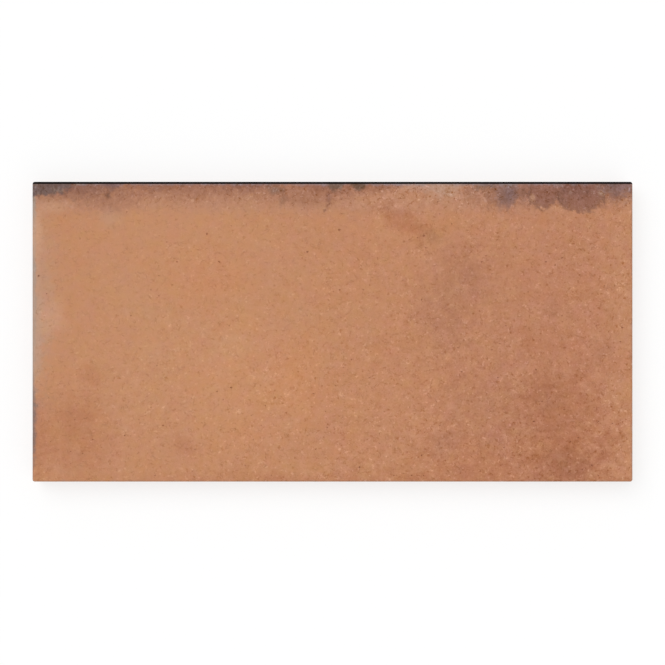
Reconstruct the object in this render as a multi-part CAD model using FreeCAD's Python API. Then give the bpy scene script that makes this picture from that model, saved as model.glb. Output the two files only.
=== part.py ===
# Terracotta floor tile, twice as long as it is wide: one fired clay body.
# The clay leaves the die along X as one long ribbon with its keys already in the back, and is wire-cut
# square at both ends. The wear face is up, +Z, and the bedding plane is at Z = 0.
# The origin is the middle of the underside. All sizes are in millimetres.

import FreeCAD, Part
import os

from FreeCAD import Vector

# Outside of the fired tile
TILE_LENGTH = 300.0     # along X, from wire cut to wire cut
TILE_WIDTH = 150.0      # along Y, across the die
TILE_THICKNESS = 14.0   # from the bedding plane to the wear face
CORNER_ROUND = 1.2      # radius of the four upright corners, seen from above
FACE_ARRIS = 1.0        # radius of the eased edge all round the wear face

# Long sides: upright beside the grout joint, then stepping in towards the bed
JOINT_LAND = 7.0        # height of the upright stretch, measured down from the wear face
SIDE_RELIEF = 0.75      # how far each long side has stepped in at the bedding plane
HEEL_ROUND = 0.6        # radius where the side turns into the bedding plane

# Dovetail keys in the back, which the mortar grips
KEY_COUNT = 10          # keys side by side, an even number, so that a land runs down the middle
EDGE_LAND = 11.0        # plain land from each heel to the first key's mouth
KEY_MOUTH = 5.0         # width of a key where it opens in the bedding plane
KEY_DEPTH = 1.8         # how deep a key is
KEY_FLARE = 0.6         # how much further each wall reaches at the root than at the mouth
KEY_ROOT_ROUND = 0.5    # radius in the two corners of a key's root
KEY_LIP_ROUND = 0.3     # radius of the two lips of a key's mouth

# Names and tolerances
NODE = "floor_tile"
OUT_FOLDER = "parts"
SAME_PLACE = 1e-4       # closer than this, two places count as one

# Half the width of the back, between the heels
HEEL = TILE_WIDTH / 2 - SIDE_RELIEF


def key_middles():
    """The Y places of the keys' middles, evenly spaced between the two edge lands."""
    first = -HEEL + EDGE_LAND + KEY_MOUTH / 2
    pitch = -2 * first / (KEY_COUNT - 1)
    return [first + pitch * number for number in range(KEY_COUNT)]


def side_outline():
    """The ribbon's outline without its keys, in the YZ plane, from the left heel round to the right one."""
    land_foot = TILE_THICKNESS - JOINT_LAND
    return [
        Vector(0, -HEEL, 0),
        Vector(0, HEEL, 0),
        Vector(0, TILE_WIDTH / 2, land_foot),
        Vector(0, TILE_WIDTH / 2, TILE_THICKNESS),
        Vector(0, -TILE_WIDTH / 2, TILE_THICKNESS),
        Vector(0, -TILE_WIDTH / 2, land_foot),
    ]


def along_ribbon(outline, length):
    """A prism with that outline, of that length, with its middle at X = 0."""
    section = Part.Face(Part.makePolygon(outline + outline[:1]))
    section.translate(Vector(-length / 2, 0, 0))
    return section.extrude(Vector(length, 0, 0))


def edges_along_x(solid, height, places):
    """The solid's edges along X that lie at that height, at one of those Y places."""
    found = []
    for edge in solid.Edges:
        start, end = edge.Vertexes[0].Point, edge.Vertexes[-1].Point
        level = abs(start.z - height) < SAME_PLACE and abs(end.z - height) < SAME_PLACE
        straight = abs(start.y - end.y) < SAME_PLACE
        listed = any(abs(start.y - place) < SAME_PLACE for place in places)
        if level and straight and listed:
            found.append(edge)
    return found


def ribbon():
    """The clay as the die leaves it: relieved long sides with rounded heels, as long as the tile."""
    blank = along_ribbon(side_outline(), TILE_LENGTH)
    return blank.makeFillet(HEEL_ROUND, edges_along_x(blank, 0, [-HEEL, HEEL]))


def key_cutter(middle):
    """The dovetail tongue of the die that leaves one key, running out through both ends of the tile."""
    mouth = KEY_MOUTH / 2
    root = mouth + KEY_FLARE
    below = -KEY_DEPTH
    lean = KEY_FLARE / KEY_DEPTH
    outline = [
        Vector(0, middle - mouth - lean * below, below),
        Vector(0, middle + mouth + lean * below, below),
        Vector(0, middle + root, KEY_DEPTH),
        Vector(0, middle - root, KEY_DEPTH),
    ]
    tongue = along_ribbon(outline, TILE_LENGTH + 2 * KEY_DEPTH)
    root_corners = edges_along_x(tongue, KEY_DEPTH, [middle - root, middle + root])
    return tongue.makeFillet(KEY_ROOT_ROUND, root_corners)


def keyed(body):
    """The body with all its keys cut and the lips of their mouths rounded."""
    middles = key_middles()
    body = body.cut([key_cutter(middle) for middle in middles])
    lips = [middle + side * KEY_MOUTH / 2 for middle in middles for side in (-1, 1)]
    return body.makeFillet(KEY_LIP_ROUND, edges_along_x(body, 0, lips))


def plan_block():
    """An upright block with the tile's plan, its four corners rounded."""
    block = Part.makeBox(
        TILE_LENGTH, TILE_WIDTH, TILE_THICKNESS, Vector(-TILE_LENGTH / 2, -TILE_WIDTH / 2, 0)
    )
    upright = [edge for edge in block.Edges if edge.BoundBox.ZLength > TILE_THICKNESS / 2]
    return block.makeFillet(CORNER_ROUND, upright)


def eased(body):
    """The body with the rim of its wear face eased."""
    rim = [
        edge
        for edge in body.Edges
        if edge.BoundBox.ZMin > TILE_THICKNESS - SAME_PLACE
    ]
    return body.makeFillet(FACE_ARRIS, rim)


def floor_tile():
    """The whole tile as one solid."""
    body = keyed(ribbon()).common(plan_block())
    return eased(body.Solids[0])


def check(solid):
    """Prints what the solid measures, and stops the build if it isn't one sound solid of the stated size."""
    box = solid.BoundBox
    print(f"{NODE}: {box.XLength:.3f} x {box.YLength:.3f} x {box.ZLength:.3f} mm")
    print(f"volume {solid.Volume / 1000:.2f} cm3, {len(solid.Faces)} faces, valid {solid.isValid()}")
    if not solid.isValid() or len(solid.Solids) != 1:
        raise RuntimeError("the tile isn't one sound solid")


tile = floor_tile()
check(tile)
os.makedirs(OUT_FOLDER, exist_ok=True)
tile.exportStep(f"{OUT_FOLDER}/{NODE}.step")
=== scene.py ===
# The looks of a terracotta floor tile: one piece of clay, drawn through a die, cut with a wire and fired.
# It lies wear face up. The flame has burnt its far long edge black and flashed the face beside it.

import math
import random
from collections import namedtuple

import bmesh
import bpy
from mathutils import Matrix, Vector, kdtree, noise


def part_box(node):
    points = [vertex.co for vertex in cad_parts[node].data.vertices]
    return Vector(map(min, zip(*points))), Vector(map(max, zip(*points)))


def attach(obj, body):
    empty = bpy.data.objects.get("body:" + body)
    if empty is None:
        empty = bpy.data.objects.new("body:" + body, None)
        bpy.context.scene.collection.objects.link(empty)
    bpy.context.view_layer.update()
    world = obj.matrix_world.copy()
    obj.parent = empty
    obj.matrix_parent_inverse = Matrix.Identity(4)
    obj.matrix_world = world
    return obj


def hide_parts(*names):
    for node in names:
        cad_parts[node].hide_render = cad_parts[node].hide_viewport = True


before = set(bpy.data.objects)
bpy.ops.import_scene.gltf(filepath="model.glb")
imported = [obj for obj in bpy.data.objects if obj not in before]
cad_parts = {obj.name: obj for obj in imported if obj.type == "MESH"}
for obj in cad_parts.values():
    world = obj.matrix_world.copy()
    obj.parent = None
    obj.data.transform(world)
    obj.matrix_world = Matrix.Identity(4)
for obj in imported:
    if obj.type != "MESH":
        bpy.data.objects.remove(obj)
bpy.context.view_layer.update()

MM = 0.001

# Outside of the tile, from the frame
NODE = "floor_tile"
LOW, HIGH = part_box(NODE)
LENGTH = HIGH.x - LOW.x
WIDTH = HIGH.y - LOW.y
THICKNESS = HIGH.z - LOW.z
END = LENGTH / 2
SIDE = WIDTH / 2

# Shape of the ribbon, as in the solid
CORNER_ROUND = 1.2 * MM     # the four upright corners, seen from above
FACE_ARRIS = 1.0 * MM       # the eased edge round the wear face
JOINT_LAND = 7.0 * MM       # upright stretch of each long side, below the wear face
SIDE_RELIEF = 0.75 * MM     # how far each long side has stepped in at the bed
HEEL_ROUND = 0.6 * MM
KEY_COUNT = 10
EDGE_LAND = 11.0 * MM
KEY_MOUTH = 5.0 * MM
KEY_DEPTH = 1.8 * MM
KEY_FLARE = 0.6 * MM
KEY_ROOT_ROUND = 0.5 * MM
KEY_LIP_ROUND = 0.3 * MM
HEEL = SIDE - SIDE_RELIEF
LAND_FOOT = THICKNESS - JOINT_LAND
HALF_MOUTH = KEY_MOUTH / 2
HALF_ROOT = HALF_MOUTH + KEY_FLARE
FLANK = math.hypot(KEY_DEPTH, KEY_FLARE)
FLANK_ANGLE = math.atan2(KEY_DEPTH, KEY_FLARE)

# How finely the shape is divided, for its relief
FACE_PITCH = 1.0 * MM       # across the wear face, and along it on every part but the back
BACK_PITCH = 3.0 * MM       # along the back, whose relief runs lengthwise
WALL_PITCH = 1.2 * MM       # up the sides and the ends
LAND_STRIPS = 4             # across each land between two keys
ROOT_STRIPS = 3             # across the root of each key
ARRIS_STEPS = 5
CORNER_STEPS = 4
SMALL_STEPS = 3             # round the heels, and the lips and roots of the keys
SAME_PLACE = 1e-6           # closer than this, two sizes count as the same
SNAP = 1e-5                 # closer than this to a cut, a point counts as on it
MOSTLY = 0.5                # from this share of its direction on, a face counts as looking along an axis
SHARP_FROM = math.radians(38)

# Relief of the surfaces: how deep in mm each kind of lump lies on average, and how large it is
WARP = (0.06, 70 * MM)          # the slow warp of firing
RUBBED = (0.025, 14 * MM)       # what the rubbing has left uneven
FACE_SAND = (0.011, 2.2 * MM)
FACE_SAND_MORE = 0.007          # by how much the sand is deeper at the right end, and shallower at the left
DIE_LINES = (0.018, 1.2 * MM)
SIDE_SAND = (0.022, 1.7 * MM)
SIDE_LUMPS = (0.05, 9 * MM)
WIRE_MARKS = (0.035, 1.7 * MM)
END_SAND = (0.03, 1.5 * MM)
END_LUMPS = (0.05, 6 * MM)
BACK_LINES = (0.04, 1.5 * MM)
SAND_PRINTS = (0.05, 4 * MM)
RIM_LUMPS = (0.012, 5 * MM)
WIRE_LEAN = 0.12                # how far the wire's marks lean out of the upright
LEVEL_FROM = 0.01               # from this share of its direction on, a point counts as looking up
BED_DEEPEST = 0.12              # how far in mm the back may sink, so that the tile still stands on it

# Damage: its depth in mm, its size, and the noise from which it starts
SCUFFS = (0.9, 3.2 * MM, 0.5)
TORN = (1.2, 2.7 * MM, 0.38)
NIBBLES = (0.35, 3.1 * MM, 0.5)

# Pits in the wear face: radius and depth of each kind in mm, then those seen, as X and Y in mm and kind
PIT_KINDS = ((0.32, 0.22), (0.5, 0.35), (0.75, 0.5))
PITS_SEEN = (
    (-82.4, 45.3, 1), (-50.8, 53.3, 1), (-142.5, 18.8, 1), (-138.0, 20.8, 0), (-100.9, 8.3, 1),
    (-111.4, 68.4, 1), (3.3, 51.3, 2), (114.9, 37.3, 2), (74.4, 35.3, 1), (79.4, 28.8, 1),
    (44.8, 15.8, 1), (114.9, 5.3, 1), (-84.4, -46.8, 2), (-96.4, -44.3, 0), (-68.4, -58.8, 1),
    (-128.5, -43.8, 1), (-35.8, -46.8, 1), (-2.8, -48.3, 1), (-78.4, -61.8, 0), (23.3, -51.3, 1),
    (44.3, -61.8, 2), (20.8, -38.8, 0), (99.9, -63.9, 1), (100.4, -45.3, 2), (132.5, -45.3, 1),
)
PITS_SCATTERED = (110, 90, 16)  # how many more of each kind
PIT_SPACING = 2.1 * MM
PIT_RIM = 1.5 * FACE_PITCH      # how far they keep from the eased rim
PIT_SWARM = 17 * MM             # the size of their swarms
PIT_CHANCE = 0.35               # how likely a place is to have one in the middle of the face
PIT_CHANCE_RIGHT = 0.3          # how much likelier at the right end
PIT_CHANCE_FAR = -0.2           # how much likelier at the far side
PIT_SIZES = (0.75, 1.0)         # the least and the most of its kind's radius
PIT_NARROWNESS = (0.6, 1.0)     # its width over its length
PIT_SPOKES = (0.8, 1.0)         # how uneven its rim is
PIT_STEPS = ((0.3, 0.75, 0.75), (0.25, 0.25, 1.0))      # how far in, how deep and how much painted shade, wall then floor
PIT_SEED = 7
PIT_SHADING = "pit_shading"               # the attribute that tells how much painted shade a point in a pit gets, from 0 to 1, most on its floor

# Finishes, in the order of the tile's material slots
WEAR_FACE, DIE_SIDE, WIRE_END, KEYED_BACK, BURNT_EDGE, FLASHED_LEFT, FLASHED_RIGHT = range(7)


def key_middles():
    """The Y places of the keys' middles."""
    first = -HEEL + EDGE_LAND + HALF_MOUTH
    pitch = -2 * first / (KEY_COUNT - 1)
    return [first + pitch * number for number in range(KEY_COUNT)]


def section_outline():
    """The ribbon's section as (Y, Z) points, from the near heel along the back and over the face."""
    points = [(-HEEL, 0)]
    for middle in key_middles():
        points += [
            (middle - HALF_MOUTH, 0),
            (middle - HALF_ROOT, KEY_DEPTH),
            (middle + HALF_ROOT, KEY_DEPTH),
            (middle + HALF_MOUTH, 0),
        ]
    points += [(HEEL, 0), (SIDE, LAND_FOOT), (SIDE, THICKNESS), (-SIDE, THICKNESS), (-SIDE, LAND_FOOT)]
    return points


def near(a, b):
    """True where two sizes are the same, within rounding."""
    return abs(a - b) < SAME_PLACE


def lengthwise(bm, height, places):
    """The edges along X at that height and at one of those distances from the middle line."""
    found = []
    for edge in bm.edges:
        a, b = (vert.co for vert in edge.verts)
        along = near(a.y, b.y) and near(a.z, b.z) and near(a.z, height)
        if along and any(near(abs(a.y), place) for place in places):
            found.append(edge)
    return found


def round_off(bm, edges, radius, steps, corner=math.pi / 2):
    """Rounds edges to that radius, where the two faces meet at that angle."""
    bmesh.ops.bevel(
        bm,
        geom=edges,
        offset=radius / math.tan(corner / 2),
        segments=steps,
        profile=0.5,
        affect="EDGES",
        material=-1,
        clamp_overlap=False,
    )


def draw_ribbon(bm):
    """The clay as the die leaves it, as long as the tile, with its keys and its rounded long edges."""
    outline = [bm.verts.new((-END, y, z)) for y, z in section_outline()]
    drawn = bmesh.ops.extrude_face_region(bm, geom=[bm.faces.new(outline)])
    far_end = [part for part in drawn["geom"] if isinstance(part, bmesh.types.BMVert)]
    bmesh.ops.translate(bm, vec=(LENGTH, 0, 0), verts=far_end)
    bmesh.ops.recalc_face_normals(bm, faces=bm.faces)
    lips = [abs(middle + way * HALF_MOUTH) for middle in key_middles() for way in (-1, 1)]
    roots = [abs(middle + way * HALF_ROOT) for middle in key_middles() for way in (-1, 1)]
    round_off(bm, lengthwise(bm, 0, lips), KEY_LIP_ROUND, SMALL_STEPS, math.pi - FLANK_ANGLE)
    round_off(bm, lengthwise(bm, KEY_DEPTH, roots), KEY_ROOT_ROUND, SMALL_STEPS, FLANK_ANGLE)
    round_off(bm, lengthwise(bm, 0, [HEEL]), HEEL_ROUND, SMALL_STEPS)


def ease_corners(bm):
    """Rounds the four upright corners, then the rim of the wear face."""
    outermost = HEEL - HEEL_ROUND - SNAP
    upright = []
    for edge in bm.edges:
        a, b = (vert.co for vert in edge.verts)
        at_corner = all(near(abs(co.x), END) and abs(co.y) > outermost for co in (a, b))
        if at_corner and not near(a.z, b.z):
            upright.append(edge)
    round_off(bm, upright, CORNER_ROUND, CORNER_STEPS)
    top = [face for face in bm.faces if all(near(vert.co.z, THICKNESS) for vert in face.verts)]
    round_off(bm, list(top[0].edges), FACE_ARRIS, ARRIS_STEPS)


def finish_of(face):
    """Which finish a face of the plain tile has, from where it lies and which way it looks."""
    middle, out = face.calc_center_median(), face.normal
    if middle.z > THICKNESS - FACE_ARRIS:
        return BURNT_EDGE if middle.y > SIDE - FACE_ARRIS else WEAR_FACE
    in_key = middle.z < KEY_DEPTH and abs(middle.y) < HEEL - HEEL_ROUND and abs(out.x) < MOSTLY
    if out.z < -MOSTLY or in_key:
        return KEYED_BACK
    return WIRE_END if abs(out.x) > abs(out.y) else DIE_SIDE


def cut_across(bm, faces, place, direction):
    """Cuts faces by a plane through that place, and returns them with the new ones."""
    edges = {edge for face in faces for edge in face.edges}
    verts = {vert for face in faces for vert in face.verts}
    made = bmesh.ops.bisect_plane(
        bm, geom=[*faces, *edges, *verts], dist=SNAP, plane_co=place, plane_no=direction
    )
    return [part for part in made["geom"] if isinstance(part, bmesh.types.BMFace)]


def levels(low, high, pitch):
    """Evenly spaced places between two ends, about that far apart, without the ends."""
    steps = max(1, round((high - low) / pitch))
    return [low + (high - low) * step / steps for step in range(1, steps)]


def back_lines():
    """The Y places where the lands and the key roots are divided."""
    middles = key_middles()
    starts = [HEEL_ROUND - HEEL] + [middle + HALF_MOUTH for middle in middles]
    stops = [middle - HALF_MOUTH for middle in middles] + [HEEL - HEEL_ROUND]
    lines = []
    for start, stop in zip(starts, stops):
        lines += [start + (stop - start) * step / LAND_STRIPS for step in range(1, LAND_STRIPS)]
    half = HALF_ROOT - KEY_ROOT_ROUND
    for middle in middles:
        lines += [middle - half + 2 * half * step / ROOT_STRIPS for step in range(1, ROOT_STRIPS)]
    return lines


def divide(bm):
    """Divides the plain tile into a fine net, whose points the relief then moves."""
    plain_x, plain_y = END - CORNER_ROUND, SIDE - CORNER_ROUND
    for place, direction in (((plain_x, 0, 0), (1, 0, 0)), ((0, plain_y, 0), (0, 1, 0))):
        for way in (-1, 1):
            cut_across(bm, list(bm.faces), Vector(place) * way, direction)
    for face in bm.faces:
        face.material_index = finish_of(face)

    across = [face for face in bm.faces if face.material_index in (WEAR_FACE, WIRE_END)]
    for y in levels(-plain_y, plain_y, FACE_PITCH):
        across = cut_across(bm, across, (0, y, 0), (0, 1, 0))
    walls = [face for face in bm.faces if face.material_index in (DIE_SIDE, WIRE_END)]
    relieved = levels(KEY_DEPTH, LAND_FOOT, WALL_PITCH)
    upright = levels(LAND_FOOT, THICKNESS - FACE_ARRIS, WALL_PITCH)
    for z in [*relieved, LAND_FOOT, *upright]:
        walls = cut_across(bm, walls, (0, 0, z), (0, 0, 1))
    back = [face for face in bm.faces if face.material_index == KEYED_BACK]
    for y in back_lines():
        back = cut_across(bm, back, (0, y, 0), (0, 1, 0))

    def reach(edge):
        return abs(edge.verts[0].co.x - edge.verts[1].co.x)

    long_edges = [edge for edge in bm.edges if reach(edge) > END]
    bmesh.ops.subdivide_edges(bm, edges=long_edges, cuts=round(2 * plain_x / BACK_PITCH) - 1)
    coarse = [edge for edge in bm.edges if reach(edge) > BACK_PITCH / 2]
    off_back = [
        edge
        for edge in coarse
        if all(face.material_index != KEYED_BACK for face in edge.link_faces)
    ]
    bmesh.ops.subdivide_edges(bm, edges=off_back, cuts=round(BACK_PITCH / FACE_PITCH) - 1)


def noise_at(place, size, longer=(1, 1, 1)):
    """Smooth noise from -1 to 1, its lumps about that size, and that many times longer along X, Y and Z."""
    return noise.noise(Vector(part / size / more for part, more in zip(place, longer)))


def lumpy(place, kind, longer=(1, 1, 1)):
    """How far lumps of that kind lie below the surface, in mm."""
    depth, size = kind
    return depth * (1 + noise_at(place, size, longer))


def damaged(place, kind):
    """How far damage of that kind reaches in, in mm, or 0 where there is none."""
    depth, size, start = kind
    return depth * max(0.0, noise_at(place, size) - start)


def wear_relief(place):
    """How far the wear face has sunk, in mm: the warp of firing, what the rubbing has left, and the sand."""
    depth, size = FACE_SAND
    sand = lumpy(place, (depth + FACE_SAND_MORE * place.x / END, size))
    return lumpy(place, WARP) + lumpy(place, RUBBED) + sand


def side_relief(place):
    """How far a long side has sunk, in mm: faint drag lines from the die, sand, lumps and scuffs."""
    lines = lumpy(place, DIE_LINES, longer=(30, 1, 1))
    lumps = lumpy(place, SIDE_LUMPS, longer=(1.5, 1, 1))
    return lines + lumpy(place, SIDE_SAND) + lumps + damaged(place, SCUFFS)


def end_relief(place):
    """How far an end has sunk, in mm: faint drag marks of the wire, and clay torn out between them."""
    leaning = (place.x, place.y + WIRE_LEAN * place.z, place.z)
    marks = lumpy(leaning, WIRE_MARKS, longer=(1, 1, 4))
    return marks + lumpy(leaning, END_SAND) + lumpy(leaning, END_LUMPS) + damaged(leaning, TORN)


def back_relief(place):
    """How far the back has sunk, in mm: drag lines along it, and the prints of the sand that it dried on."""
    lines = lumpy(place, BACK_LINES, longer=(50, 1, 1))
    return lines + lumpy(place, SAND_PRINTS, longer=(1.5, 1, 1))


def rim_relief(place):
    """How far the eased rim has sunk, in mm: a little unevenness, and small nibbles."""
    return lumpy(place, RIM_LUMPS) + damaged(place, NIBBLES)


def give_relief(bm):
    """Moves every point of the net inward, by the relief of the surface that it lies on."""
    bm.normal_update()
    moves = []
    for vert in bm.verts:
        place, out = vert.co, vert.normal
        toward_end, toward_side, level = (part * part for part in out)
        walls = toward_side * side_relief(place) + toward_end * end_relief(place)
        if out.z > 0 and level > LEVEL_FROM:
            depth = level * wear_relief(place) + (1 - level) * rim_relief(place)
        elif out.z > 0:
            depth = walls
        else:
            depth = level * back_relief(place) + walls
        if place.z < KEY_DEPTH + SNAP:
            depth = min(depth, BED_DEEPEST)
        moves.append(out * -depth * MM)
    for vert, move in zip(bm.verts, moves):
        vert.co += move


def open_mouths(bm, chosen):
    """Cuts a small hole in the net at each of the chosen points, and returns the holes of each kind."""
    opened = []
    for verts, (radius, _) in zip(chosen, PIT_KINDS):
        cut = bmesh.ops.bevel(
            bm,
            geom=verts,
            offset=radius * MM,
            segments=1,
            profile=0.5,
            affect="VERTICES",
            material=-1,
        )
        opened.append(cut["faces"])
    rims = {edge for mouths in opened for mouth in mouths for edge in mouth.edges}
    bmesh.ops.bisect_edges(bm, edges=list(rims), cuts=1)
    return opened


def in_plan(place):
    """A key that sorts places from above, whatever rounding does to them."""
    return round(place.x / SNAP), round(place.y / SNAP)


def sink_pits(bm, mouths, radius, depth, pit_shading, draw):
    """Gives each hole an uneven, often oblong rim, a sloping wall and a floor, and marks how much painted
    shade its wall and its floor get.

    The net's order changes from run to run, so what is drawn at random goes round in the order of place.
    """
    for mouth in sorted(mouths, key=lambda face: in_plan(face.calc_center_median())):
        middle = mouth.calc_center_median()
        size = draw.uniform(*PIT_SIZES)
        turn = draw.uniform(0, math.pi)
        narrow = draw.uniform(*PIT_NARROWNESS)
        length = Vector((math.cos(turn), math.sin(turn), 0))
        for vert in sorted(mouth.verts, key=lambda corner: in_plan(corner.co)):
            spoke = (vert.co - middle).normalized() * radius * size * draw.uniform(*PIT_SPOKES)
            along = length * spoke.dot(length)
            vert.co = middle + along + (spoke - along) * narrow
    for inset, drop, shade in PIT_STEPS:
        bmesh.ops.inset_individual(bm, faces=mouths, thickness=radius * inset, depth=-depth * drop)
        for mouth in mouths:
            for vert in mouth.verts:
                vert[pit_shading] = shade


def pit_places(draw):
    """Where the wear face has pits, as (X, Y, kind), the seen ones first.

    They come in swarms, and lie closer on the right and on the near side.
    """
    places = [(x * MM, y * MM, kind) for x, y, kind in PITS_SEEN]
    for kind, count in enumerate(PITS_SCATTERED):
        while count:
            x, y = draw.uniform(-END, END), draw.uniform(-SIDE, SIDE)
            leaning = PIT_CHANCE_RIGHT * x / END + PIT_CHANCE_FAR * y / SIDE
            if draw.random() < PIT_CHANCE + leaning + noise_at((x, y, 0), PIT_SWARM):
                places.append((x, y, kind))
                count -= 1
    return places


def pit_face(bm):
    """Opens the pits of the wear face, each at a point of the net, and none too close to another."""
    draw = random.Random(PIT_SEED)
    pit_shading = bm.verts.layers.float.new(PIT_SHADING)
    rim = FACE_ARRIS + PIT_RIM
    lowest = THICKNESS - FACE_ARRIS / 2
    net = [
        vert
        for vert in bm.verts
        if vert.co.z > lowest and abs(vert.co.x) < END - rim and abs(vert.co.y) < SIDE - rim
    ]
    tree = kdtree.KDTree(len(net))
    for index, vert in enumerate(net):
        tree.insert(vert.co, index)
    tree.balance()
    chosen = [[] for _ in PIT_KINDS]
    spots = []
    for x, y, kind in pit_places(draw):
        spot, index, _ = tree.find((x, y, THICKNESS))
        if all((spot - other).length > PIT_SPACING for other in spots):
            spots.append(spot)
            chosen[kind].append(net[index])
    for mouths, (radius, depth) in zip(open_mouths(bm, chosen), PIT_KINDS):
        sink_pits(bm, mouths, radius * MM, depth * MM, pit_shading, draw)


# The tile's own map, so that nothing overlaps on it and the wear face gets half of it
FACE_PATCH = (0.0, 0.51, 1.0, 1.0)
BACK_PATCH = (0.0, 0.17, 1.0, 0.5)
END_PATCHES = {-1: (0.0, 0.11, 0.49, 0.158), 1: (0.51, 0.11, 1.0, 0.158)}
SIDE_PATCHES = {-1: (0.0, 0.0, 1.0, 0.046), 1: (0.0, 0.055, 1.0, 0.101)}
BAKE_MAP = "OFBake"
FLANK_FROM = 0.7    # from this share of its direction on, a face of a key counts as its flank


def on_patch(patch, across, up):
    """A place on the map, from how far across and up its patch a point lies, both from 0 to 1."""
    left, low, right, high = patch
    return left + (right - left) * across, low + (high - low) * up


def unrolled(place, face_middle, out, middles):
    """How far round the back a point lies from the near heel, with the flanks of the keys laid flat."""
    extra = 2 * (FLANK + HALF_ROOT - HALF_MOUTH)
    number = min(range(KEY_COUNT), key=lambda index: abs(middles[index] - face_middle.y))
    middle = middles[number]
    key_start = middle - HALF_MOUTH + HEEL + extra * number
    if abs(out.y) > FLANK_FROM:
        if face_middle.y < middle:
            return key_start + math.hypot(place.z, place.y - middle + HALF_MOUTH)
        return key_start + 2 * (FLANK + HALF_ROOT) - math.hypot(place.z, place.y - middle - HALF_MOUTH)
    if face_middle.z > KEY_DEPTH / 2:
        return key_start + FLANK + place.y - middle + HALF_ROOT
    passed = number + (face_middle.y > middle)
    return place.y + HEEL + extra * passed


def give_map(bm):
    """Lays every face out on the tile's own map."""
    bake_map = bm.loops.layers.uv.new(BAKE_MAP)
    middles = key_middles()
    girth = 2 * HEEL + KEY_COUNT * 2 * (FLANK + HALF_ROOT - HALF_MOUTH)
    for face in bm.faces:
        centre, out, finish = face.calc_center_median(), face.normal, face.material_index
        for loop in face.loops:
            place = loop.vert.co
            along, across, up = place.x / LENGTH + 0.5, place.y / WIDTH + 0.5, place.z / THICKNESS
            if finish in (WEAR_FACE, BURNT_EDGE):
                spot = on_patch(FACE_PATCH, along, across)
            elif finish == KEYED_BACK:
                spot = on_patch(BACK_PATCH, along, unrolled(place, centre, out, middles) / girth)
            elif finish == DIE_SIDE:
                spot = on_patch(SIDE_PATCHES[1 if centre.y > 0 else -1], along, up)
            else:
                spot = on_patch(END_PATCHES[1 if centre.x > 0 else -1], across, up)
            loop[bake_map].uv = spot


def part_wear_face(bm):
    """Gives the two stretches of the wear face that the flame has reached their own materials."""
    for face in bm.faces:
        middle = face.calc_center_median()
        if face.material_index == WEAR_FACE and middle.y > FLASHED_FROM * MM:
            face.material_index = FLASHED_RIGHT if middle.x > PARTED_AT * MM else FLASHED_LEFT


def linear(code):
    """An sRGB hex colour as linear red, green, blue and alpha."""
    channels = [int(code[place:place + 2], 16) / 255 for place in (1, 3, 5)]
    return [c / 12.92 if c <= 0.04045 else ((c + 0.055) / 1.055) ** 2.4 for c in channels] + [1.0]


def add(tree, kind, inputs=(), out=0, **settings):
    """Adds one shader node with its settings and its inputs, values or links, and returns one output."""
    node = tree.nodes.new("ShaderNode" + kind)
    for name, value in settings.items():
        setattr(node, name, value)
    sockets = {socket.identifier: socket for socket in node.inputs}
    for name, value in dict(inputs).items():
        if isinstance(value, bpy.types.NodeSocket):
            tree.links.new(value, sockets[name])
        else:
            sockets[name].default_value = value
    return node.outputs[out] if len(node.outputs) else node


# Settings of a Mix node that blends colours, and which of its outputs holds the blend
BLEND = {"data_type": "RGBA", "out": 2}

# Clay colours, as they look in the photo's even light
CLAY = "#C08764"
STRAW = "#C48E69"
AMBER = "#C58962"
HONEY = "#CC8F67"
ROSE = "#B97F61"
DUSK = "#AD785D"
OLIVE = "#A67553"
BRICK = "#AF7152"
EARTH = "#9A6246"
BLOOM = "#C6926F"
SAND_PALE = "#DBAB83"
# Painted shade for the pits: the dark brown that their walls and floors are darkened toward
PIT_SHADE_BROWN = "#7C5038"

# Flash colours, from a thin fume veil to the clay that the flame has burnt
HAZE = "#BC9882"
HAZE_PALE = "#CE9F80"
HAZE_LILAC = "#A39286"
VEIL = "#A5735B"
ROSE_VEIL = "#9C6A54"
UMBER_VEIL = "#9A6C57"
MAUVE = "#8C6151"
MAUVE_PALE = "#8D695E"
MAUVE_DARK = "#7F605B"
RED_BROWN = "#875C4E"
LOBE_BROWN = "#956655"
PINK_GREY = "#B08876"
SLATE = "#705A54"
SLATE_BLUE = "#6B5958"
SLATE_ROSE = "#86655E"
SLATE_BROWN = "#866959"
SLATE_GREEN = "#6D5648"
UMBER = "#74503F"
SEPIA = "#5F4136"
CRUST_PALE = "#B9A18F"
CRUST_GREY = "#947B74"
ASH = "#968587"
ASH_PALE = "#AF9383"
EDGE_LILAC = "#7F6D67"
SOOT = "#1B120E"
BURNT = "#050303"

# A stain: its middle and half size in mm, how much of it is even, how ragged its edge is in half sizes, its
# strength, its colour and its turn in degrees
Stain = namedtuple("Stain", "x y half_x half_y even ragged strength colour turn", defaults=[0])

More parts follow.
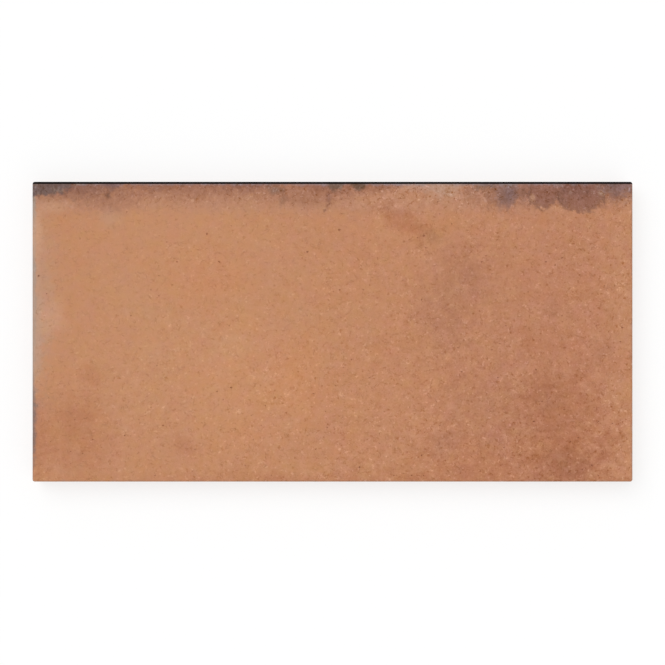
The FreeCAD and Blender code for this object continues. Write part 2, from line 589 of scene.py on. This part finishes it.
# The broad tones of the wear face, in the order that they are laid on
TONES = [Stain(*row) for row in (
    (-75, 0, 110, 120, 0.1, 0.3, 0.7, STRAW),
    (-62, 28, 36, 24, 0.1, 0.4, 0.6, AMBER),
    (-14, -22, 24, 36, 0.1, 0.4, 0.6, AMBER),
    (-45, -28, 50, 45, 0.1, 0.4, 0.4, HONEY),
    (112, 0, 95, 130, 0.1, 0.3, 0.75, ROSE),
    (58, 12, 22, 40, 0.1, 0.5, 0.5, DUSK),
    (68, 30, 26, 12, 0.1, 0.5, 0.5, DUSK, -45),
    (36, 54, 20, 9, 0.1, 0.5, 0.6, BRICK, -30),
    (49, 48, 11, 9, 0.1, 0.5, 0.5, OLIVE),
    (85, -74, 80, 40, 0.1, 0.4, 0.45, BRICK),
    (78, -38, 34, 34, 0.1, 0.5, 0.35, DUSK),
    (58, -56, 14, 10, 0.1, 0.5, 0.35, DUSK),
    (104, -6, 24, 12, 0.1, 0.5, 0.3, BRICK),
    (116, -46, 36, 38, 0.1, 0.5, 0.55, BRICK),
    (110, -36, 24, 22, 0.1, 0.5, 0.25, EARTH),
    (119, -66, 30, 20, 0.1, 0.5, 0.45, EARTH),
    (108, 12, 9, 8, 0.1, 0.5, 0.35, DUSK),
    (133, -12, 8, 8, 0.1, 0.5, 0.4, DUSK),
    (144, -28, 12, 16, 0.1, 0.5, 0.4, STRAW),
    (148, 25, 16, 60, 0.1, 0.5, 0.4, STRAW),
    (-127, -50, 30, 30, 0.1, 0.5, 0.35, BRICK),
    (-150, -48, 17, 34, 0.1, 0.5, 0.4, BRICK),
    (-127, -45, 14, 16, 0.1, 0.5, 0.35, BRICK),
    (-118, -22, 10, 10, 0.1, 0.5, 0.35, BRICK),
    (-75, -57, 10, 8, 0.1, 0.5, 0.35, BRICK),
    (0, -76, 170, 9, 0.1, 0.5, 0.3, BRICK),
    (-112, 57, 13, 11, 0.0, 0.7, 0.3, HAZE),
    (-50, -8, 17, 8, 0.2, 0.4, 0.5, BLOOM),
    (-93, -10, 12, 8, 0.2, 0.4, 0.35, BLOOM),
    (-152, 15, 20, 75, 0.1, 0.6, 0.45, HAZE),
    (-151, -8, 13, 34, 0.1, 0.6, 0.6, HAZE),
    (-141, 7, 12, 13, 0.1, 0.5, 0.45, HAZE_PALE),
)]

# What the flame has done along the far side, the left end and the rim, in the order that it is laid on
FLASH = [Stain(*row) for row in (
    (0, 66, 330, 10, 0.3, 0.4, 0.11, ASH),
    (-66, 77, 100, 19, 0.15, 0.4, 0.75, VEIL),
    (-66, 77, 92, 13, 0.2, 0.4, 0.75, ROSE_VEIL),
    (-66, 77, 88, 7, 0.2, 0.5, 0.55, MAUVE),
    (-130, 77, 46, 21, 0.1, 0.4, 0.65, MAUVE),
    (-140, 62.5, 14, 5, 0.1, 0.6, 0.45, HAZE_PALE),
    (-110, 65, 20, 8, 0.2, 0.5, 0.4, ROSE_VEIL),
    (-87, 71.5, 8, 3, 0.1, 0.5, 0.4, MAUVE),
    (-8, 67.5, 19, 7, 0.2, 0.5, 0.4, ROSE_VEIL),
    (-128, 77, 34, 12.5, 0.3, 0.4, 0.8, MAUVE),
    (-16, 69, 27, 11, 0.1, 0.5, 0.6, VEIL),
    (-12, 77, 32, 10, 0.2, 0.4, 0.45, ROSE_VEIL),
    (10, 77, 30, 12, 0.35, 0.4, 0.9, ROSE_VEIL),
    (112, 78, 66, 20, 0.15, 0.5, 0.8, VEIL),
    (112, 77, 38, 16.5, 0.5, 0.35, 0.9, LOBE_BROWN),
    (48, 77, 34, 10, 0.3, 0.5, 0.85, PINK_GREY),
    (56, 73, 14, 10, 0.2, 0.5, 0.5, HAZE),
    (19.5, 75, 4.5, 4.4, 0.2, 0.5, 0.5, RED_BROWN),
    (143, 74, 20, 14, 0.25, 0.5, 0.8, UMBER_VEIL),
    (-42, 76, 19, 8, 0.3, 0.5, 0.55, RED_BROWN),
    (-29, 71, 6, 3.8, 0.1, 0.6, 0.5, SLATE_GREEN),
    (-112, 67.6, 3, 2.2, 0.1, 0.6, 0.5, UMBER),
    (-141, 66.3, 7, 2, 0.1, 0.6, 0.4, OLIVE),
    (4, 69, 7, 3.6, 0.1, 0.6, 0.4, ROSE_VEIL),
    (-24.5, 66, 3.5, 6, 0.0, 0.7, 0.35, UMBER),
    (-1.8, 66, 1.9, 7, 0.0, 0.7, 0.6, RED_BROWN, -13),
    (-4, 60.6, 1.1, 1.4, 0.1, 0.5, 0.5, UMBER),
    (-7, 75, 10, 6.5, 0.2, 0.5, 0.55, RED_BROWN),
    (26.5, 74.5, 11, 6.5, 0.35, 0.5, 0.85, ROSE_VEIL),
    (70, 71, 8, 10, 0.2, 0.5, 0.55, UMBER_VEIL),
    (76, 76, 8.5, 8.5, 0.3, 0.5, 0.85, SLATE_BROWN),
    (86, 71, 15, 14, 0.25, 0.4, 0.65, UMBER_VEIL),
    (79, 67, 4.5, 5, 0.1, 0.5, 0.7, UMBER_VEIL),
    (87.5, 63.5, 6.5, 3.4, 0.1, 0.5, 0.45, UMBER_VEIL),
    (87, 69.5, 7.4, 9.8, 0.5, 0.5, 0.9, MAUVE_PALE),
    (88.5, 69.5, 5, 6.5, 0.1, 0.5, 0.85, MAUVE_DARK),
    (88, 75.2, 8.5, 3.6, 0.3, 0.5, 0.85, CRUST_GREY),
    (95.5, 69, 4, 5, 0.1, 0.5, 0.35, UMBER),
    (105, 69.3, 8.6, 8.9, 0.8, 0.5, 0.4, SEPIA),
    (105.5, 70, 8.4, 9, 0.55, 0.5, 0.9, LOBE_BROWN),
    (100, 67, 2.2, 3.0, 0.1, 0.8, 0.5, HAZE_PALE),
    (124.2, 67.9, 12.6, 9, 0.85, 0.45, 0.45, SEPIA),
    (124, 68.6, 12.4, 9.2, 0.6, 0.45, 0.9, LOBE_BROWN),
    (121, 76, 15, 11, 0.35, 0.5, 0.9, RED_BROWN),
    (134, 63, 4, 2.6, 0.1, 0.7, 0.4, LOBE_BROWN),
    (125, 70.5, 14, 4.4, 0.2, 0.5, 0.6, RED_BROWN),
    (134.8, 69.3, 2.8, 2.2, 0.1, 0.8, 0.55, HAZE),
    (112, 61.5, 5, 3, 0.2, 0.5, 0.5, STRAW),
    (-150.5, 30, 3.2, 90, 0.5, 0.3, 0.95, HAZE_LILAC),
    (0, 75.3, 400, 2.8, 0.3, 0.3, 0.9, ASH),
    (140, 70, 5.5, 7.5, 0.25, 0.5, 0.8, MAUVE),
    (144, 77.5, 16, 11.5, 0.5, 0.4, 0.95, SLATE_ROSE),
    (140.5, 75.5, 6, 4, 0.3, 0.5, 0.85, SLATE),
    (-110, 75, 7, 5.5, 0.3, 0.5, 0.95, MAUVE_DARK),
    (-130.5, 72, 8, 4, 0.2, 0.5, 0.6, RED_BROWN),
    (7.3, 75.5, 4, 3, 0.2, 0.5, 0.6, RED_BROWN),
    (48, 76, 20, 3.5, 0.3, 0.5, 0.7, ASH_PALE),
    (79, 75.5, 5, 4, 0.3, 0.5, 0.85, SLATE),
    (113.5, 74, 4, 3, 0.1, 0.6, 0.6, CRUST_GREY),
    (121, 75.5, 8, 2.6, 0.2, 0.5, 0.6, MAUVE_DARK),
    (1.5, 75, 5.5, 6.4, 0.5, 0.4, 0.85, SLATE_GREEN),
    (13, 75, 5.2, 5.8, 0.5, 0.4, 0.85, SLATE_GREEN),
    (-124, 75.6, 7, 3.2, 0.3, 0.5, 0.7, ASH),
    (-150, 76, 24, 10, 0.75, 0.3, 0.94, SLATE),
    (-150.5, 72, 4, 7, 0.3, 0.5, 0.9, SLATE_BLUE),
    (-127, 74.2, 3, 1.4, 0.1, 0.7, 0.6, CRUST_PALE),
    (-148, 48, 4, 17, 0.3, 0.5, 0.6, HAZE_PALE),
    (-148, 4, 4, 40, 0.3, 0.5, 0.5, HAZE),
    (-150.3, -48, 3.2, 32, 0.3, 0.5, 0.85, EDGE_LILAC),
    (150.5, 0, 1.6, 400, 0.2, 0.5, 0.6, PINK_GREY),
    (0, -75.5, 400, 1.6, 0.2, 0.5, 0.6, PINK_GREY),
)]

# How far in mm the edges of both kinds of stain are pushed about
TONES_PUSH = 9
FLASH_PUSH = 1.2
ANY_HEIGHT = 1e6    # a half size in mm so great that a stain is the same at any height

# From this Y place in mm on, the wear face is flashed; nearer, the flame has left only a haze on its rim
FLASHED_FROM = 45
PARTED_AT = 40      # the X place in mm where the flashed stretch is parted in two

# The Y places in mm between which the burnt black of the far arris ends on the wear face
BLACK_FROM = 73.7
BLACK_FULL = 73.85

# Clouds in the clay: their size in mm, and by how much red, green and blue swing in them
MOTTLES = (
    (15.0, (0.04, 0.05, 0.18)),
    (6.5, (0.05, 0.06, 0.19)),
    (3.0, (0.05, 0.07, 0.19)),
)

# Smoke on the far wall: how high in mm each colour starts and is full, the colour, and how much it covers
SMOKE = (
    (-6, 3, VEIL, 0.8),
    (-1, 7, MAUVE, 0.8),
    (4, 9.5, SLATE, 0.8),
    (7, 11, SEPIA, 0.8),
    (9.5, 12.2, SOOT, 0.95),
    (12, 13.4, BURNT, 1.0),
)

# How the smoke's edge is frayed: the size and the reach of each fraying in mm
SMOKE_FRAYS = ((28, 10.0), (5, 5.0), (1.6, 3.0))
SMOKED_CRUST = 0.8  # how much of the flame's crust the smoked side has

# The clay's own light, from 0 to 1, where the flame's crust starts and where it is full
CLEAN_LIGHT = 0.19
BURNT_LIGHT = 0.13

# Spots of pale ash and black in the crust: the noise where each starts and is full, its colour and cover
CRUST_SPOTS = ((0.54, 0.7, CRUST_PALE, 0.3), (0.46, 0.32, BURNT, 0.3))

# Lost grains, pale grains and stretches of crawl marks: the size of each in mm, how far off in mm its noise
# is taken, and the noise where it starts and is full
GRAINS = ((1.6, 0.0, 0.6, 0.74), (1.7, 65.1, 0.6, 0.74), (3.4, 136.4, 0.5, 0.62))

# By how much the sand, lost grains, pale grains and crawl marks change the colour's light
SAND_SWING = 0.44
LOST_SWING = -0.18
PALE_SWING = 0.22
CRAWL_SWING = -0.1
SWING_BY_CHANNEL = (0.76, 1.2, 1.78)    # so that red, green and blue change by as much to the eye

# How much stronger the wear face's grain gets with every mm to the right and to the far side
GRAIN_SLOPE = (0.0025, -0.003, 0.0)

# The Y places in mm between which the flame has made the grain stronger, and by how much
SCORCHED_FROM = 60.0
SCORCHED_FULL = 70.0
SCORCHED_MORE = 1.5

PIT_SHADE = 0.4     # how much of the painted shade's dark brown the pits' floors get; their walls get three quarters of that


def place_in_mm(tree):
    """The place on the tile in mm, from its own coordinates."""
    place = add(tree, "TexCoord", out="Object")
    return add(tree, "VectorMath", {"Vector": place, "Scale": 1 / MM}, operation="SCALE")


def shaken(tree, place, lump, reach):
    """The place in mm, pushed about by up to that many mm, so that what reads it gets uneven edges."""
    push = add(tree, "TexNoise", {"Vector": place, "Scale": 1 / lump, "Detail": 3.0}, out="Color")
    centred = add(tree, "VectorMath", {"Vector": push, "Vector_001": (0.5, 0.5, 0.5)}, operation="SUBTRACT")
    return add(
        tree,
        "VectorMath",
        {"Vector": centred, "Vector_001": (2 * reach, 2 * reach, 0), "Vector_002": place},
        operation="MULTIPLY_ADD",
    )


def raggedness(tree, place, lump):
    """Rough noise about 0, which frays the edges of the stains."""
    rag = add(tree, "TexNoise", {"Vector": place, "Scale": 1 / lump, "Detail": 5.0, "Roughness": 0.7})
    return add(tree, "Math", {"Value": rag, "Value_001": 0.5}, operation="SUBTRACT")


def stained(tree, colour, place, rag, stain):
    """The colour with one stain laid over it."""
    local = add(
        tree,
        "Mapping",
        {
            "Vector": place,
            "Location": (stain.x, stain.y, 0),
            "Rotation": (0, 0, math.radians(stain.turn)),
            "Scale": (stain.half_x, stain.half_y, ANY_HEIGHT),
        },
        vector_type="TEXTURE",
    )
    reach = add(tree, "VectorMath", {"Vector": local}, operation="LENGTH", out="Value")
    uneven = add(
        tree,
        "Math",
        {"Value": rag, "Value_001": 2 * stain.ragged, "Value_002": reach},
        operation="MULTIPLY_ADD",
    )
    cover = add(
        tree,
        "MapRange",
        {"Value": uneven, "From Min": stain.even, "From Max": 1.0, "To Min": stain.strength, "To Max": 0.0},
        interpolation_type="SMOOTHSTEP",
    )
    return add(
        tree,
        "Mix",
        {"Factor_Float": cover, "A_Color": colour, "B_Color": linear(stain.colour)},
        **BLEND,
    )


def reaches(stain, push, area):
    """True where a stain, its edge pushed about by up to that much, can show in an area of the wear face."""
    left, low, right, high = area
    half_x, half_y = stain.half_x, stain.half_y
    if stain.turn:
        half_x = half_y = max(half_x, half_y)
    reach_x, reach_y = (half * (1 + stain.ragged) + push for half in (half_x, half_y))
    return left - reach_x < stain.x < right + reach_x and low - reach_y < stain.y < high + reach_y


def drifting(tree, place):
    """Clay whose colour drifts slowly between ochre and rose, as the fire reached it."""
    drift = add(tree, "TexNoise", {"Vector": place, "Scale": 1 / 45, "Detail": 4.0, "Roughness": 0.6})
    drift = add(tree, "MapRange", {"Value": drift, "From Min": 0.3, "From Max": 0.7})
    return add(
        tree,
        "Mix",
        {"Factor_Float": drift, "A_Color": linear(STRAW), "B_Color": linear(ROSE)},
        **BLEND,
    )


def mottled(tree, colour, place):
    """The colour with clouds of more or less iron and lime in it: its blue swings the most."""
    for size, swing in MOTTLES:
        cloud = add(tree, "TexNoise", {"Vector": place, "Scale": 1 / size, "Detail": 1.0}, out="Color")
        least = [1 - part / 2 for part in swing]
        factor = add(
            tree,
            "VectorMath",
            {"Vector": cloud, "Vector_001": swing, "Vector_002": least},
            operation="MULTIPLY_ADD",
        )
        colour = add(tree, "VectorMath", {"Vector": colour, "Vector_001": factor}, operation="MULTIPLY")
    return colour


def sanded(tree, colour, place, contrast):
    """The colour with the clay's sand in it, and how high the surface stands.

    Sand of 0.4 to 5 mm makes it lighter and darker, lost grains and short crawl marks darken it, and pale
    grains stand out. The contrast is a number or a link.
    """
    sand = add(tree, "TexNoise", {"Vector": place, "Scale": 1 / 5.0, "Detail": 3.5, "Roughness": 1.0})
    marks = []
    for size, off, low, high in GRAINS:
        moved = add(tree, "Mapping", {"Vector": place, "Location": (0, 0, off)})
        lump = add(tree, "TexNoise", {"Vector": moved, "Scale": 1 / size, "Detail": 2.0, "Roughness": 0.6})
        marks.append(add(tree, "MapRange", {"Value": lump, "From Min": low, "From Max": high}))
    lost, pale, broken = marks
    swirl = add(tree, "TexNoise", {"Vector": place, "Scale": 1 / 2.6, "Detail": 1.0, "Distortion": 0.5})
    swirl = add(tree, "Math", {"Value": swirl, "Value_001": 0.5}, operation="SUBTRACT")
    swirl = add(tree, "Math", {"Value": swirl}, operation="ABSOLUTE")
    track = add(
        tree,
        "MapRange",
        {"Value": swirl, "From Min": 0.0, "From Max": 0.05, "To Min": 1.0, "To Max": 0.0},
    )
    crawl = add(tree, "Math", {"Value": track, "Value_001": broken}, operation="MULTIPLY")

    swing = add(tree, "Math", {"Value": sand, "Value_001": 0.5}, operation="SUBTRACT")
    swing = add(tree, "Math", {"Value": swing, "Value_001": SAND_SWING}, operation="MULTIPLY")
    for mark, weight in ((lost, LOST_SWING), (pale, PALE_SWING), (crawl, CRAWL_SWING)):
        swing = add(
            tree,
            "Math",
            {"Value": mark, "Value_001": weight, "Value_002": swing},
            operation="MULTIPLY_ADD",
        )
    swing = add(tree, "Math", {"Value": swing, "Value_001": contrast}, operation="MULTIPLY")
    shade = add(
        tree,
        "VectorMath",
        {"Vector": swing, "Vector_001": SWING_BY_CHANNEL, "Vector_002": (1.0, 1.0, 1.0)},
        operation="MULTIPLY_ADD",
    )
    colour = add(tree, "VectorMath", {"Vector": colour, "Vector_001": shade}, operation="MULTIPLY")
    height = add(tree, "Math", {"Value": sand, "Value_001": crawl}, operation="SUBTRACT")
    height = add(tree, "Math", {"Value": height, "Value_001": lost}, operation="SUBTRACT")
    return colour, height


def crusted(tree, colour, place, amount):
    """The colour with the crust of the flame in it, as far as that amount: pale ash and black pinpricks."""
    stretched = add(tree, "Mapping", {"Vector": place, "Scale": (1.0, 0.6, 1.0)})
    crust = add(tree, "TexNoise", {"Vector": stretched, "Scale": 1 / 1.8, "Detail": 3.0, "Roughness": 0.8})
    for low, high, tone, most in CRUST_SPOTS:
        spot = add(tree, "MapRange", {"Value": crust, "From Min": low, "From Max": high, "To Max": most})
        spot = add(tree, "Math", {"Value": spot, "Value_001": amount}, operation="MULTIPLY")
        colour = add(
            tree,
            "Mix",
            {"Factor_Float": spot, "A_Color": colour, "B_Color": linear(tone)},
            **BLEND,
        )
    return colour


def fired(tree, colour, height, roughness, relief, shine=0.2):
    """The shader of bare fired clay, porous and matt, its relief that deep in mm, with hardly any shine."""
    bump = add(tree, "Bump", {"Height": height, "Strength": 1.0, "Distance": relief * MM})
    shader = add(
        tree,
        "BsdfPrincipled",
        {
            "Base Color": colour,
            "Roughness": roughness,
            "Normal": bump,
            "IOR": 1.5,
            "Specular IOR Level": shine,
        },
    )
    add(tree, "OutputMaterial", {"Surface": shader})


def new_material(name):
    """An empty material and its node tree."""
    material = bpy.data.materials.new(name)
    material.use_nodes = True
    material.node_tree.nodes.clear()
    return material, material.node_tree


def rubbed_wear_face(name, area):
    """Terracotta rubbed smooth when leather hard: matt and sandy, flashed where the flame has passed, and
    darkened with painted shade in its pits.

    It has the stains that reach the area between those X and Y places in mm, because one shader can't hold
    them all. Two areas have the same colour where they meet.
    """
    material, tree = new_material(name)
    place = place_in_mm(tree)
    colour = linear(CLAY)
    soft = shaken(tree, place, lump=25, reach=TONES_PUSH)
    soft_rag = raggedness(tree, place, lump=5)
    for stain in TONES:
        if reaches(stain, TONES_PUSH, area):
            colour = stained(tree, colour, soft, soft_rag, stain)
    colour = mottled(tree, colour, place)

    crisp = shaken(tree, place, lump=5, reach=FLASH_PUSH)
    crisp_rag = raggedness(tree, place, lump=2.4)
    for stain in FLASH:
        if reaches(stain, FLASH_PUSH, area):
            colour = stained(tree, colour, crisp, crisp_rag, stain)
    light = add(tree, "RGBToBW", {"Color": colour})
    burnt = add(tree, "MapRange", {"Value": light, "From Min": CLEAN_LIGHT, "From Max": BURNT_LIGHT})
    colour = crusted(tree, colour, place, burnt)

    cloud = add(tree, "TexNoise", {"Vector": place, "Scale": 1 / 20, "Detail": 3.0, "Roughness": 0.8})
    toward = add(
        tree,
        "VectorMath",
        {"Vector": place, "Vector_001": GRAIN_SLOPE},
        operation="DOT_PRODUCT",
        out="Value",
    )
    toward = add(tree, "Math", {"Value": cloud, "Value_001": toward}, operation="ADD")
    contrast = add(
        tree,
        "MapRange",
        {"Value": toward, "From Min": 0.1, "From Max": 0.9, "To Min": 0.4, "To Max": 1.7},
    )
    behind = add(tree, "SeparateXYZ", {"Vector": place}, out="Y")
    scorched = add(
        tree,
        "MapRange",
        {"Value": behind, "From Min": SCORCHED_FROM, "From Max": SCORCHED_FULL, "To Max": SCORCHED_MORE},
    )
    contrast = add(tree, "Math", {"Value": contrast, "Value_001": scorched}, operation="ADD")
    colour, height = sanded(tree, colour, place, contrast)
    # Painted shade in the pits: their walls and floors are darkened toward dark brown
    pit_shading = add(tree, "Attribute", out="Fac", attribute_name=PIT_SHADING)
    shade = add(tree, "Math", {"Value": pit_shading, "Value_001": PIT_SHADE}, operation="MULTIPLY")
    colour = add(
        tree,
        "Mix",
        {"Factor_Float": shade, "A_Color": colour, "B_Color": linear(PIT_SHADE_BROWN)},
        **BLEND,
    )
    black = add(tree, "MapRange", {"Value": behind, "From Min": BLACK_FROM, "From Max": BLACK_FULL})
    colour = add(tree, "Mix", {"Factor_Float": black, "A_Color": colour, "B_Color": linear(BURNT)}, **BLEND)
    fired(tree, colour, height, roughness=0.88, relief=0.12)
    return material


def die_drawn_side():
    """Terracotta as the die leaves it: a denser skin with faint drag lines, smoked on the far side."""
    material, tree = new_material("terracotta_die_skin")
    place = place_in_mm(tree)
    colour = mottled(tree, drifting(tree, place), place)
    drawn_out = add(tree, "Mapping", {"Vector": place, "Scale": (1 / 14, 1, 1)})
    lines = add(tree, "TexNoise", {"Vector": drawn_out, "Scale": 1 / 1.1, "Detail": 4.0})
    shade = add(
        tree,
        "MapRange",
        {"Value": lines, "From Min": 0.3, "From Max": 0.7, "To Min": 0.95, "To Max": 1.03},
    )
    colour = add(tree, "VectorMath", {"Vector": colour, "Scale": shade}, operation="SCALE")

    behind = add(tree, "SeparateXYZ", {"Vector": place}, out="Y")
    behind = add(tree, "Math", {"Value": behind, "Value_001": 0.0}, operation="GREATER_THAN")
    height = add(tree, "SeparateXYZ", {"Vector": place}, out="Z")
    for size, reach in SMOKE_FRAYS:
        height = add(
            tree,
            "Math",
            {"Value": raggedness(tree, place, size), "Value_001": reach, "Value_002": height},
            operation="MULTIPLY_ADD",
        )
    for low, high, tone, most in SMOKE:
        cover = add(
            tree,
            "MapRange",
            {"Value": height, "From Min": low, "From Max": high, "To Min": 0.0, "To Max": most},
            interpolation_type="SMOOTHSTEP",
        )
        cover = add(tree, "Math", {"Value": cover, "Value_001": behind}, operation="MULTIPLY")
        colour = add(
            tree,
            "Mix",
            {"Factor_Float": cover, "A_Color": colour, "B_Color": linear(tone)},
            **BLEND,
        )
    crust = add(tree, "Math", {"Value": behind, "Value_001": SMOKED_CRUST}, operation="MULTIPLY")
    colour = crusted(tree, colour, place, crust)
    colour, height = sanded(tree, colour, place, contrast=1.2)
    height = add(tree, "Math", {"Value": lines, "Value_001": height}, operation="ADD")
    fired(tree, colour, height, roughness=0.82, relief=0.14)
    return material


def wire_cut_end():
    """Terracotta as the wire leaves it: a torn, open face with faint drag marks and lost grains."""
    material, tree = new_material("terracotta_wire_cut")
    place = place_in_mm(tree)
    colour = mottled(tree, drifting(tree, place), place)
    dragged = add(tree, "Mapping", {"Vector": place, "Rotation": (WIRE_LEAN, 0, 0), "Scale": (1, 1, 0.35)})
    marks = add(tree, "TexNoise", {"Vector": dragged, "Scale": 1 / 1.3, "Detail": 5.0, "Roughness": 0.7})
    shade = add(
        tree,
        "MapRange",
        {"Value": marks, "From Min": 0.3, "From Max": 0.7, "To Min": 0.88, "To Max": 1.06},
    )
    colour = add(tree, "VectorMath", {"Vector": colour, "Scale": shade}, operation="SCALE")
    colour, height = sanded(tree, colour, place, contrast=1.5)
    height = add(tree, "Math", {"Value": marks, "Value_001": height}, operation="ADD")
    fired(tree, colour, height, roughness=0.93, relief=0.25)
    return material


def keyed_back():
    """Terracotta that dried and was fired face up: its back keeps a dusty skin of the sand below it."""
    material, tree = new_material("terracotta_sanded_back")
    place = place_in_mm(tree)
    colour = mottled(tree, drifting(tree, place), place)
    dust = add(tree, "TexNoise", {"Vector": place, "Scale": 1 / 8, "Detail": 6.0, "Roughness": 0.7})
    dust = add(tree, "MapRange", {"Value": dust, "From Min": 0.45, "From Max": 0.7, "To Max": 0.5})
    colour = add(
        tree,
        "Mix",
        {"Factor_Float": dust, "A_Color": colour, "B_Color": linear(SAND_PALE)},
        **BLEND,
    )
    colour, height = sanded(tree, colour, place, contrast=1.6)
    fired(tree, colour, height, roughness=0.93, relief=0.25)
    return material


def burnt_edge():
    """Terracotta that the flame has burnt to a dense, dull black skin, browner where it is thin."""
    material, tree = new_material("terracotta_burnt_black")
    place = place_in_mm(tree)
    thin = add(tree, "TexNoise", {"Vector": place, "Scale": 1 / 4, "Detail": 4.0, "Roughness": 0.7})
    thin = add(tree, "MapRange", {"Value": thin, "From Min": 0.45, "From Max": 0.7})
    colour = add(
        tree,
        "Mix",
        {"Factor_Float": thin, "A_Color": linear(BURNT), "B_Color": linear(SOOT)},
        **BLEND,
    )
    grain = add(tree, "TexNoise", {"Vector": place, "Scale": 1 / 1.1, "Detail": 4.0})
    fired(tree, colour, grain, roughness=0.7, relief=0.08, shine=0.05)
    return material


def fired_tile():
    """The tile, dressed, in the place of the plain solid."""
    bm = bmesh.new()
    draw_ribbon(bm)
    ease_corners(bm)
    divide(bm)
    give_relief(bm)
    pit_face(bm)
    bm.normal_update()
    give_map(bm)
    part_wear_face(bm)
    for face in bm.faces:
        face.smooth = True
    mesh = bpy.data.meshes.new("fired_clay_tile")
    bm.to_mesh(mesh)
    bm.free()
    mesh.set_sharp_from_angle(angle=SHARP_FROM)
    end, side = END / MM, SIDE / MM
    for material in (
        rubbed_wear_face("terracotta_rubbed_face", (-end, -side, end, FLASHED_FROM)),
        die_drawn_side(),
        wire_cut_end(),
        keyed_back(),
        burnt_edge(),
        rubbed_wear_face("terracotta_flashed_left", (-end, FLASHED_FROM, PARTED_AT, side)),
        rubbed_wear_face("terracotta_flashed_right", (PARTED_AT, FLASHED_FROM, end, side)),
    ):
        mesh.materials.append(material)
    tile = bpy.data.objects.new("fired_clay_tile", mesh)
    bpy.context.scene.collection.objects.link(tile)
    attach(tile, "root")
    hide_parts(NODE)


# Light and view
SKY_LIGHT = 0.55            # even light from all round
LAMPS = (
    ("key", 1.4, (-0.45, 0.5, 1.0)),        # the stronger lamp, behind the tile's left end
    ("fill", 0.35, (0.6, -0.8, 1.0)),       # the weaker lamp, in front on the right
)
LAMP_SPREAD = math.radians(50)
FLOOR_REACH = 6.0           # half the floor's side
FLOOR_GAP = 0.05 * MM       # keeps the floor clear of the bed face, which lies in the same plane
FLOOR_GLOW = 0.7            # how much of the floor's look is its own glow
GLOW_LIGHT = 1.02
PAPER_WHITE = 0.97
LENS = 100.0                # focal length and sensor width, both in mm
SENSOR = 36.0
VIEW_WIDTH = 332.2 * MM     # what the picture takes in across, at the height of the wear face
VIEW_DROP = 0.40 * MM       # how far the camera stands to the near side of the middle


def seen_directly(tree):
    """1 where the camera looks at a thing directly, in a mirror or through glass, or else 0."""
    kinds = ("Camera", "Glossy", "Transmission")
    rays = [add(tree, "LightPath", out=f"Is {kind} Ray") for kind in kinds]
    either = add(tree, "Math", {"Value": rays[0], "Value_001": rays[1]}, operation="MAXIMUM")
    return add(tree, "Math", {"Value": either, "Value_001": rays[2]}, operation="MAXIMUM")


def light_studio():
    """Soft even light from all round, a strong lamp and a weak one, before a white background."""
    scene = bpy.context.scene
    world = bpy.data.worlds.new("studio")
    scene.world = world
    world.use_nodes = True
    tree = world.node_tree
    tree.nodes.clear()
    around = add(tree, "Background", {"Color": (1, 1, 1, 1), "Strength": SKY_LIGHT})
    behind = add(tree, "Background", {"Color": (1, 1, 1, 1), "Strength": 1.0})
    sky = add(tree, "MixShader", {"Fac": seen_directly(tree), "Shader": around, "Shader_001": behind})
    add(tree, "OutputWorld", {"Surface": sky})
    for name, strength, towards in LAMPS:
        lamp = bpy.data.lights.new(name, "SUN")
        lamp.energy = strength
        lamp.angle = LAMP_SPREAD
        holder = bpy.data.objects.new(name, lamp)
        holder.rotation_mode = "QUATERNION"
        holder.rotation_quaternion = Vector(towards).to_track_quat("Z", "Y")
        scene.collection.objects.link(holder)


def lay_floor():
    """A plain white floor, which keeps the tile's soft shadow and doesn't glow beneath the tile."""
    bm = bmesh.new()
    bmesh.ops.create_grid(bm, x_segments=1, y_segments=1, size=FLOOR_REACH)
    bmesh.ops.translate(bm, vec=(0, 0, LOW.z - FLOOR_GAP), verts=bm.verts)
    mesh = bpy.data.meshes.new("studio_floor")
    bm.to_mesh(mesh)
    bm.free()
    material, tree = new_material("white_paper")
    place = add(tree, "TexCoord", out="Object")
    place = add(tree, "VectorMath", {"Vector": place}, operation="ABSOLUTE")
    beyond = add(tree, "VectorMath", {"Vector": place, "Vector_001": (END, SIDE, 0)}, operation="SUBTRACT")
    past_end = add(tree, "SeparateXYZ", {"Vector": beyond}, out="X")
    past_side = add(tree, "SeparateXYZ", {"Vector": beyond}, out="Y")
    outside = add(tree, "Math", {"Value": past_end, "Value_001": past_side}, operation="MAXIMUM")
    outside = add(tree, "Math", {"Value": outside, "Value_001": 0.0}, operation="GREATER_THAN")
    share = add(tree, "Math", {"Value": seen_directly(tree), "Value_001": FLOOR_GLOW}, operation="MULTIPLY")
    share = add(tree, "Math", {"Value": share, "Value_001": outside}, operation="MULTIPLY")
    paper = add(tree, "BsdfDiffuse", {"Color": (PAPER_WHITE, PAPER_WHITE, PAPER_WHITE, 1)})
    glow = add(tree, "Emission", {"Color": (1, 1, 1, 1), "Strength": GLOW_LIGHT})
    mixed = add(tree, "MixShader", {"Fac": share, "Shader": paper, "Shader_001": glow})
    add(tree, "OutputMaterial", {"Surface": mixed})
    mesh.materials.append(material)
    floor = bpy.data.objects.new("studio_floor", mesh)
    bpy.context.scene.collection.objects.link(floor)


def set_camera():
    """Looks straight down on the middle of the wear face, with the far side at the top of the picture."""
    camera = bpy.data.cameras.new("camera")
    camera.lens = LENS
    camera.sensor_width = SENSOR
    holder = bpy.data.objects.new("camera", camera)
    holder.location = (0, -VIEW_DROP, HIGH.z + VIEW_WIDTH * LENS / SENSOR)
    bpy.context.scene.collection.objects.link(holder)
    bpy.context.scene.camera = holder


fired_tile()
lay_floor()
light_studio()
set_camera()
bpy.context.scene.view_settings.view_transform = "Standard"
